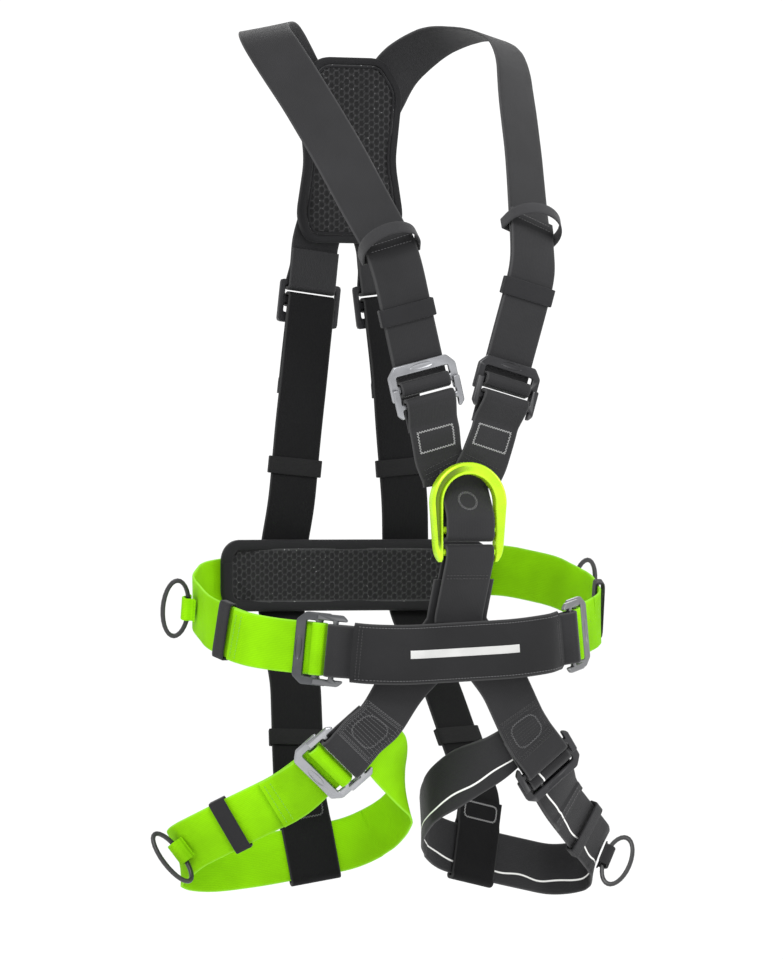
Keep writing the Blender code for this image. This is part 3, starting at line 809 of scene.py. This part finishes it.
def stuffed(node, cap):
    """Cloth over foam: a slightly smaller copy of the CAD pad, remeshed and blown up against a cap."""
    bm = clean(node)
    bmesh.ops.recalc_face_normals(bm, faces=bm.faces)
    for vert in bm.verts:
        vert.co -= vert.normal * PAD_SHRINK
    obj = placed(node + "_start", new_mesh(node + "_start", bm))
    remesh = obj.modifiers.new("remesh", "REMESH")
    remesh.mode = "VOXEL"
    remesh.voxel_size = VOXEL
    mesh = settled(obj)
    rest = [v.co.copy() for v in mesh.vertices]
    obj = placed(node + "_cloth", mesh)
    cloth = obj.modifiers.new("cloth", "CLOTH")
    cloth.settings.use_pressure = True
    cloth.settings.uniform_pressure_force = PRESSURE
    cloth.settings.effector_weights.gravity = 0
    for number in range(1, CLOTH_FRAMES + 1):
        bpy.context.scene.frame_set(number)
    mesh = settled(obj)
    bpy.context.scene.frame_set(1)
    for vert, start in zip(mesh.vertices, rest):
        move = vert.co - start
        if move.length > cap:
            vert.co = start + move * (cap / move.length)
    return mesh


def hexagons(u, v):
    """0 on the threads between mesh cells, 1 in the middle of a cell. u and v are in mm."""
    wide, tall = CELL
    best = []
    column = round(u / wide)
    for c in (column - 1, column, column + 1):
        shift = 0.5 * (c % 2)
        row = round(v / tall - shift)
        for r in (row - 1, row, row + 1):
            best.append(math.hypot((u - c * wide) / wide, (v - (r + shift) * tall) / tall * 1.1))
    best.sort()
    return clamp((best[1] - best[0]) / CELL_EDGE)


def mesh_pad(node, cap, flat, inset):
    """Stuffed pad with a hexagon mesh pressed into both faces.

    flat(place) lays a place out in metres, and inset(place) is its distance from the border."""
    obj = placed(node + "_fine", stuffed(node, cap))
    fine = obj.modifiers.new("fine", "SUBSURF")
    fine.levels = 2
    fine.render_levels = 2
    mesh = settled(obj)
    cells = mesh.attributes.new("cell", "FLOAT", "POINT")
    normals = [v.normal.copy() for v in mesh.vertices]
    for vert, normal in zip(mesh.vertices, normals):
        u, v = flat(vert.co)
        share = clamp(inset(vert.co) / (2 * MM))
        facing = clamp((abs(normal.y) - 0.6) / 0.25)
        deep = min(hexagons(u / MM, v / MM) * 1.4, 1) * share * facing
        vert.co -= normal * deep * CELL_DEPTH
        # the depth share also darkens the pad_mesh colour: partly the foam's own colour, partly painted shade
        cells.data[vert.index].value = deep
    mesh.shade_smooth()
    pad = add_piece(node + "_stuffed", mesh, "mesh", BODY_OF[node], node)
    return pad


def border(name, body, points, section, look):
    """Closed tube round a pad, along (place, inward direction) points; section is (inward, forward)."""
    bm = bmesh.new()
    lay = bm.verts.layers.float_vector.new("lay")
    rings = []
    run = 0.0
    before = points[-1][0]
    for place, inward in points:
        run += (place - before).length
        before = place
        ring = []
        forward = Vector((0, -1, 0))
        forward = (forward - inward * forward.dot(inward)).normalized()
        for k in range(16):
            angle = math.tau * k / 16
            squared = (abs(math.cos(angle)) ** 0.6, abs(math.sin(angle)) ** 0.6)
            a = math.copysign(squared[0], math.cos(angle)) * section[0]
            b = math.copysign(squared[1], math.sin(angle)) * section[1]
            vert = bm.verts.new(place + inward * a + forward * b)
            vert[lay] = (run / MM, a / MM, 0)
            ring.append(vert)
        rings.append(ring)
    skin(bm, rings, closed=True)
    return add_piece(name, mesh_from(name, bm, 60), look, body)


def moved_in(ring, distance, lift=0.0):
    """A pad's outline moved inwards, and to the rear by the lift."""
    return [(p + d * distance + Vector((0, lift, 0)), d) for p, d in ring]


def outline_frames(points):
    """Each closed outline point with the direction into the pad."""
    made = []
    count = len(points)
    centre = sum(points, Vector()) / count
    for i, point in enumerate(points):
        along = (points[(i + 1) % count] - points[i - 1]).normalized()
        inward = along.cross(Vector((0, 1, 0))).normalized()
        made.append((point, inward))
    turn = sum(1 if (centre - p).dot(d) > 0 else -1 for p, d in made)
    return [(p, d if turn > 0 else -d) for p, d in made]


def resampled(points, step):
    """Closed outline with points a step apart."""
    made = []
    left = 0.0
    for a, b in zip(points, points[1:] + points[:1]):
        length = (b - a).length
        while left < length:
            made.append(a.lerp(b, left / length))
            left += step
        left -= length
    return made


def upper_pad():
    node = "upper_back_pad"
    bm = joined_plate(node)
    face = max(bm.faces, key=lambda f: f.calc_area())
    low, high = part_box(node)
    middle = (low.y + high.y) / 2
    outline = [Vector((loop.vert.co.x, middle, loop.vert.co.z)) for loop in face.loops]
    bm.free()
    ring = outline_frames(resampled(outline, BORDER_STEP))

    def inset(p):
        return min((Vector((p.x, middle, p.z)) - q).length for q, _ in ring) - BINDING_REACH

    mesh_pad(node, 2.0 * MM, lambda p: (p.x, p.z), inset)
    border(node + "_binding", BODY_OF[node], moved_in(ring, 1.5 * MM), (3.6 * MM, 4.6 * MM), "binding")
    for face_name, lift in (("inner", low.y - middle), ("outer", high.y - middle)):
        line = moved_in(ring, 6.6 * MM, lift)
        border(f"{node}_piping_{face_name}", BODY_OF[node], line, (0.9 * MM, 0.9 * MM), "binding")


def lumbar_pad():
    node = "lumbar_pad"
    bm = clean(node)
    tree = BVHTree.FromBMesh(bm)
    bm.free()
    low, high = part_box(node)
    reach = high.x - 2.5 * MM
    centre = (low.z + high.z) / 2
    tall = (high.z - low.z) / 2 - 2.5 * MM
    corner = 15 * MM
    turns = [math.radians(10 * k) for k in range(9)]
    side = [reach - corner * (1 - math.cos(a)) for a in turns]
    side += [(reach - corner) * k / 20 for k in range(20, 0, -1)]
    ends = []
    for x in [-x for x in side] + [0.0] + side[::-1]:
        inward = max(corner - (reach - abs(x)), 0)
        half = tall - corner + math.sqrt(corner ** 2 - inward ** 2)
        ends.append((x, middle_depth(tree, x, centre), centre + half, centre - half))
    outline = [Vector((x, y, top)) for x, y, top, _ in ends]
    outline += [Vector((x, y, foot)) for x, y, _, foot in ends[::-1]]
    ring = outline_frames(resampled(outline, BORDER_STEP))

    def inset(p):
        across = abs(p.x) - (reach - corner)
        up = abs(p.z - centre) - (tall - corner)
        past = math.hypot(across, up) if across > 0 and up > 0 else max(across, up)
        return corner - past - BINDING_REACH

    mesh_pad(node, 1.5 * MM, lambda p: (p.x * 1.04, p.z), inset)
    border(node + "_binding", BODY_OF[node], moved_in(ring, 1.6 * MM), (5.0 * MM, 4.3 * MM), "binding")


# ---- fabric sleeves and bands

def crowned_loop(half, crown, columns=15):
    """Closed section of a flat sleeve: half its width, and its crown's height at each face."""
    made = []
    for side in (1, -1):
        for k in range(columns):
            share = -1 + 2 * k / (columns - 1)
            height = crown * max(1 - abs(share) ** 5, 0) ** 0.5
            made.append((side * share * half, side * max(height, 0.15 * MM)))
    return made


def tube(name, strap, width, crown, wall, look, node):
    """Flat fabric sleeve round a strap, open at both ends."""
    bm = bmesh.new()
    lay = bm.verts.layers.float_vector.new("lay")
    shells = []
    for inset in (0.0, wall):
        profile = crowned_loop(width / 2 - inset, crown - inset)
        rings = []
        for centre, across, normal, run in zip(strap.centres, strap.across, strap.normals, strap.runs):
            ring = []
            for x, z in profile:
                vert = bm.verts.new(centre + across * x + normal * z)
                vert[lay] = (run / MM, x / MM * WEB / width, z / MM)
                ring.append(vert)
            rings.append(ring)
        shells.append(rings)
    for rings in shells:
        skin(bm, rings)
    for end in (0, -1):
        skin(bm, [shells[0][end], shells[1][end]])
    return add_piece(name, mesh_from(name, bm, 50), look, strap.body, node)


# (share of the half length, share of the wall's depth) once round a band's wall
BAND_WALL = ((-1, 0.5), (-0.97, 0.12), (-0.9, 0), (-0.45, 0), (0, 0), (0.45, 0), (0.9, 0), (0.97, 0.12),
             (1, 0.5), (1, 0.5), (0.97, 0.88), (0.9, 1), (0, 1), (-0.9, 1), (-0.97, 0.88), (-1, 0.5))


def fabric_band(node, outlines, place, length, look):
    """Band of webbing: outer and inner closed outlines in (x, z), run along y with soft rims."""
    bm = bmesh.new()
    lay = bm.verts.layers.float_vector.new("lay")
    outer, inner = outlines
    loops = []
    for share, depth in BAND_WALL:
        ring = []
        run = 0.0
        for k, (a, b) in enumerate(zip(outer, inner)):
            run += math.dist(a, outer[k - 1]) if k else 0
            x = a[0] + (b[0] - a[0]) * depth
            z = a[1] + (b[1] - a[1]) * depth
            vert = bm.verts.new(place @ Vector((x, share * length / 2, z)))
            vert[lay] = (run / MM, share * length / 2 / MM * 2.8, 0)
            ring.append(vert)
        loops.append(ring)
    skin(bm, loops, closed=True)
    bmesh.ops.remove_doubles(bm, verts=bm.verts, dist=JOIN)
    return add_piece(node + "_band", mesh_from(node, bm, 55), look, BODY_OF[node], node)


def squared_loop(half_wide, half_deep, count=64, power=8):
    """Closed outline between an ellipse and a box."""
    made = []
    for k in range(count):
        angle = math.tau * k / count
        c, s = math.cos(angle), math.sin(angle)
        scale = (abs(c) ** power + abs(s) ** power) ** (-1 / power)
        made.append((half_wide * c * scale, half_deep * s * scale))
    return made


def keeper(node, look):
    """Elastic band close round its webbing."""
    place, (wide, long, deep) = box_frame(node)
    wall = 1.4 * MM
    outlines = [squared_loop(wide / 2 - inset, deep / 2 - inset) for inset in (0, wall)]
    return fabric_band(node, outlines, place, long, look)


def park_loop(node):
    """Stiff webbing loop: flat against the strap behind it and arched in front."""
    place, (wide, long, deep) = box_frame(node)
    outlines = []
    for inset in (0, 1.7 * MM):
        half, back = wide / 2 - inset, deep / 2 - inset
        spring = back - 8 * MM
        arch = [math.radians(180 * k / 40) for k in range(41)]
        crown = [(half * math.cos(a), (back + spring) * math.sin(a) - spring) for a in arch]
        rear = [(-half + 2 * half * k / 16, -back) for k in range(17)]
        outlines.append(crown + rear)
    return fabric_band(node, outlines, place, long, "park")


def inside_box(strap, node, margin):
    """Distances along a strap between which it lies inside a CAD node's box, from its middle out."""
    low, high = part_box(node)
    start = min(range(len(strap.runs)), key=lambda i: abs(strap.runs[i] - strap.length / 2))
    ends = []
    for step in (-1, 1):
        i = start
        while low.x + margin < strap.centres[i].x < high.x - margin:
            i += step
        ends.append(strap.runs[i])
    return ends


# ---- the pieces

def hemmed(strap, look, *ends, thread="mid_thread"):
    """Webbing with each of the ends named, 0 or its length, folded over and sewn."""
    hems = []
    for end in ends:
        inward = 1 if end == 0 else -1
        outer = strap.outer(end + inward * 5 * MM)
        hems.append((-1, HEM, outer) if end == 0 else (strap.length - HEM, strap.length + 1, outer))
        at = (end + inward * 7 * MM) / MM
        name = f"{strap.node}_hem_stitches_{'start' if end == 0 else 'end'}"
        sew(name, strap, rows(at - 3, at + 3, 2), thread, outer, lift=HEM_LIFT)
    return webbing(strap, look, hems)


def chest_side(label):
    strap = Strap("shoulder_strap_" + label)
    hemmed(strap, "black", tail_end(strap))
    chest = Strap("chest_strap_" + label)
    webbing(chest, "black")
    end = low_end(chest)
    run = chest.length / MM - 42 if end else 42
    outer = chest.outer(run * MM)
    sew(f"chest_strap_{label}_stitches", chest, [box_run(run, 32, 18)], "pale_thread", outer, ZIGZAG,
        0.42 * MM, swing=0.95)
    yoke = chest.length / MM - 16 if end else 16
    sew(f"chest_strap_{label}_yoke_stitches", chest, rows(yoke - 4, yoke + 4, 3, 18), "dark_thread", outer)


def back_side(label, side):
    """Rear strap: loose end at its adjuster, lower end sewn back under the leg loop, and the adjuster."""
    strap = Strap("back_strap_" + label)
    top_first = strap.centres[0].z > strap.centres[-1].z
    # painted shade: the back strap gets the darkened copy of the black webbing
    hemmed(strap, "deep", 0 if top_first else strap.length, thread="dark_thread")
    run = (strap.length - 10.5 * MM if top_first else 10.5 * MM) / MM
    front = 1 if strap.at(run * MM)[3].y < 0 else -1
    look = "pale_thread" if side > 0 else "mid_thread"
    sew(f"back_strap_{label}_box", strap, [box_run(run, 34, 14, 4)], look, front, ZIGZAG, 0.4 * MM, swing=0.9)
    hardware("back_adjuster_" + label, "dark")


def leg_side(label, side):
    loop = Strap("leg_loop_" + label)
    buckle_at = box_frame(f"leg_buckle_{label}_frame")[0].translation
    start_is_far = (loop.centres[0] - buckle_at).length > (loop.centres[-1] - buckle_at).length
    look, thread = ("lime", "lime_thread") if side < 0 else ("tracer", "mid_thread")
    hemmed(loop, look, 0 if start_is_far else loop.length, thread=thread)
    front = Strap("leg_front_strap_" + label)
    webbing(front, "black")
    leg_patch(front, label, side)


def tail_end(strap):
    """0 if the strap's loose end is its start, else its length: the loose end lies further out."""
    return 0 if strap.centres[0].y < strap.centres[-1].y else strap.length


def low_end(strap):
    """True if the strap's last section is the one nearer the harness's middle plane."""
    return abs(strap.centres[-1].x) < abs(strap.centres[0].x)


def main():
    for label, side in SIDES:
        chest_side(label)
        for kind, look in (("chest", "silver" if side < 0 else "dark"),
                           ("waist", "grey" if side < 0 else "pale_grey"),
                           ("leg", "silver" if side < 0 else "dark")):
            buckle(label, kind, look)
        back_side(label, side)
        leg_side(label, side)
        for name in ("side_ring_" + label, "leg_ring_" + label):
            hardware(name, "plastic", 0.5 * MM)
            tab = Strap(name + "_tab", *RING_TAB)
            lime = name.startswith("side") or side < 0
            webbing(tab, "lime" if lime else "black", waves=0)
        for name in ("chest", "waist", "leg"):
            keeper(f"{name}_keeper_{label}", "elastic")
        # painted shade: the back and low keepers get the darkened copy of the elastic
        for name in ("back", "low"):
            keeper(f"{name}_keeper_{label}", "deep_elastic")
        park_loop("park_loop_" + label)
    waist = Strap("waist_webbing")
    hemmed(waist, "lime", 0, waist.length, thread="lime_thread")
    front = Strap("front_strap")
    webbing(front, "black")
    front_sleeve(front)
    tab = Strap("chest_tab")
    webbing(tab, "black", waves=0)
    loop = Strap("ring_loop")
    webbing(loop, "black", waves=0)
    middle_stitches(tab, loop)
    chest_ring()
    upper_pad()
    lumbar_pad()


TAB_CIRCLE_AT = (0, -0.139, 0.095)      # metres, near the sewn circle on the chest tab
LOOP_ROWS_AT = (0, -0.136, 0.0295)      # metres, near the rows across the ring loop


def nearest_run(strap, place):
    """Distance along a strap of its section nearest a place."""
    best = min(range(len(strap.runs)), key=lambda i: (strap.centres[i] - Vector(place)).length)
    return strap.runs[best]


def leg_patch(front, label, side):
    """Sewn square on the strap from the leg buckle to the ring: rounded outline inside dense rows."""
    low = low_end(front)
    run = front.length / MM - 158 if low else 158
    outer = front.outer(run * MM)
    lines = [box_run(run, width, width * 0.98) for width in (42, 39, 36)]
    lines += rows(run - 20, run + 20, 13, 18)
    look = "dark_thread" if side > 0 else "mid_thread"
    sew(f"leg_front_strap_{label}_rows", front, lines, look, outer, 2.4, 0.26 * MM)
    sew(f"leg_front_strap_{label}_square", front, [box_run(run, 27, 26, 8)], "mid_thread", outer, ZIGZAG,
        0.3 * MM, 0.15 * MM, 0.9)


def front_sleeve(front):
    """Fabric sleeve over the front strap, with sewn edges, end seams and a plain sewn bar."""
    start, end = inside_box(front, "front_sleeve", 0.5 * MM)
    cover = front.part(start, end)
    tube("front_sleeve_fabric", cover, 51 * MM, 3.9 * MM, 1.0 * MM, "sleeve", "front_sleeve")
    last = cover.length / MM
    outer = cover.outer(cover.length / 2)
    lines = [[(4, x), (last - 4, x)] for x in (-22.4, 22.4)]
    sew("front_sleeve_edge_stitches", cover, lines, "mid_thread", outer, 2.8, lift=1.7 * MM)
    lines = rows(5, 8, 2, 21) + rows(last - 8, last - 5, 2, 21)
    sew("front_sleeve_end_stitches", cover, lines, "dark_thread", outer, 2.6, lift=2.75 * MM)
    plain_label(cover, outer)


def plain_label(cover, outer):
    """Plain pale bar sewn to the middle of the front sleeve."""
    middle = cover.length / 2
    bar = cover.part(middle - 52 * MM, middle + 52 * MM)
    bar.centres = [c + n * outer * 4.05 * MM for c, n in zip(bar.centres, bar.normals)]
    bar.width = 7 * MM
    bar.thick = 0.5 * MM
    bar.measure()
    bm = sweep(bar, flat_profile(bar.width, bar.thick))
    add_piece("front_sleeve_label", mesh_from("front_sleeve_label", bm, 50), "label", bar.body)


def middle_stitches(tab, loop):
    """Sewn circle on the chest tab, and two rows on the loop under the ring."""
    run = nearest_run(tab, TAB_CIRCLE_AT) / MM
    side = 1 if tab.at(run * MM)[3].y < 0 else -1
    turns = [math.tau * k / 36 for k in range(37)]
    circles = [[(run + reach * math.cos(a), reach * math.sin(a)) for a in turns] for reach in (8.7, 7.7)]
    sew("chest_tab_circle", tab, circles, "mid_thread", side, ZIGZAG, 0.38 * MM, swing=0.5)
    run = nearest_run(loop, LOOP_ROWS_AT) / MM
    side = 1 if loop.at(run * MM)[3].y < 0 else -1
    sew("ring_loop_stitches", loop, rows(run - 1.5, run + 1.5, 2), "dark_thread", side, 3.0, 0.4 * MM)


# ---- stage

AIM = 0.1                   # height that the camera and lamps point at
FLOOR_DROP = 0.32
FLOOR_REACH = 90
SKY = 1.08
# name, place, size in metres, power in watts
LAMPS = (("key", (-1.2, -2.4, 2.6), 1.3, 95), ("fill", (2.6, -1.6, 1.0), 1.2, 22),
         ("rim", (0.6, 2.4, 1.8), 1.4, 20))
VIEW_TURN = math.radians(-24)
VIEW_AWAY = 6.0


def stage():
    """Pale floor, even sky and three soft lamps."""
    plane = Look("pale_floor", (0.95, 0.95, 0.95), 0.9)
    mottle = plane.noise(plane.place(), 3.0, 2.0)
    plane.finish(plane.mix(mottle, (0.94, 0.94, 0.94, 1), (0.96, 0.96, 0.96, 1)))
    bm = bmesh.new()
    bmesh.ops.create_grid(bm, x_segments=1, y_segments=1, size=FLOOR_REACH)
    floor = placed("floor", new_mesh("floor", bm))
    floor.data.materials.append(plane.material)
    floor.location.z = CAD_BOX[0][2] - FLOOR_DROP
    world = bpy.data.worlds.new("studio")
    world.use_nodes = True
    sky = world.node_tree.nodes["Background"].inputs
    sky["Color"].default_value = (1, 1, 1, 1)
    sky["Strength"].default_value = SKY
    bpy.context.scene.world = world
    bpy.context.scene.view_settings.view_transform = "Standard"
    for name, place, size, power in LAMPS:
        light = bpy.data.lights.new(name, "AREA")
        light.energy = power
        light.size = size
        lamp = placed(name, light)
        lamp.location = place
        lamp.rotation_euler = (Vector((0, 0, AIM)) - Vector(place)).to_track_quat("-Z", "Y").to_euler()


def camera():
    """A level view from in front, turned towards the wearer's right."""
    lens = bpy.data.cameras.new("camera")
    lens.sensor_width = 36
    lens.sensor_fit = "AUTO"
    lens.lens = 258.6
    lens.shift_x = -0.011
    lens.shift_y = 0.0156
    lens.clip_end = 200
    eye = placed("camera", lens)
    away = Vector((math.sin(VIEW_TURN), -math.cos(VIEW_TURN), 0))
    eye.location = Vector((0, 0, AIM)) + away * VIEW_AWAY
    eye.rotation_euler = (math.pi / 2, 0, VIEW_TURN)
    bpy.context.scene.camera = eye


camera()
stage()
main()
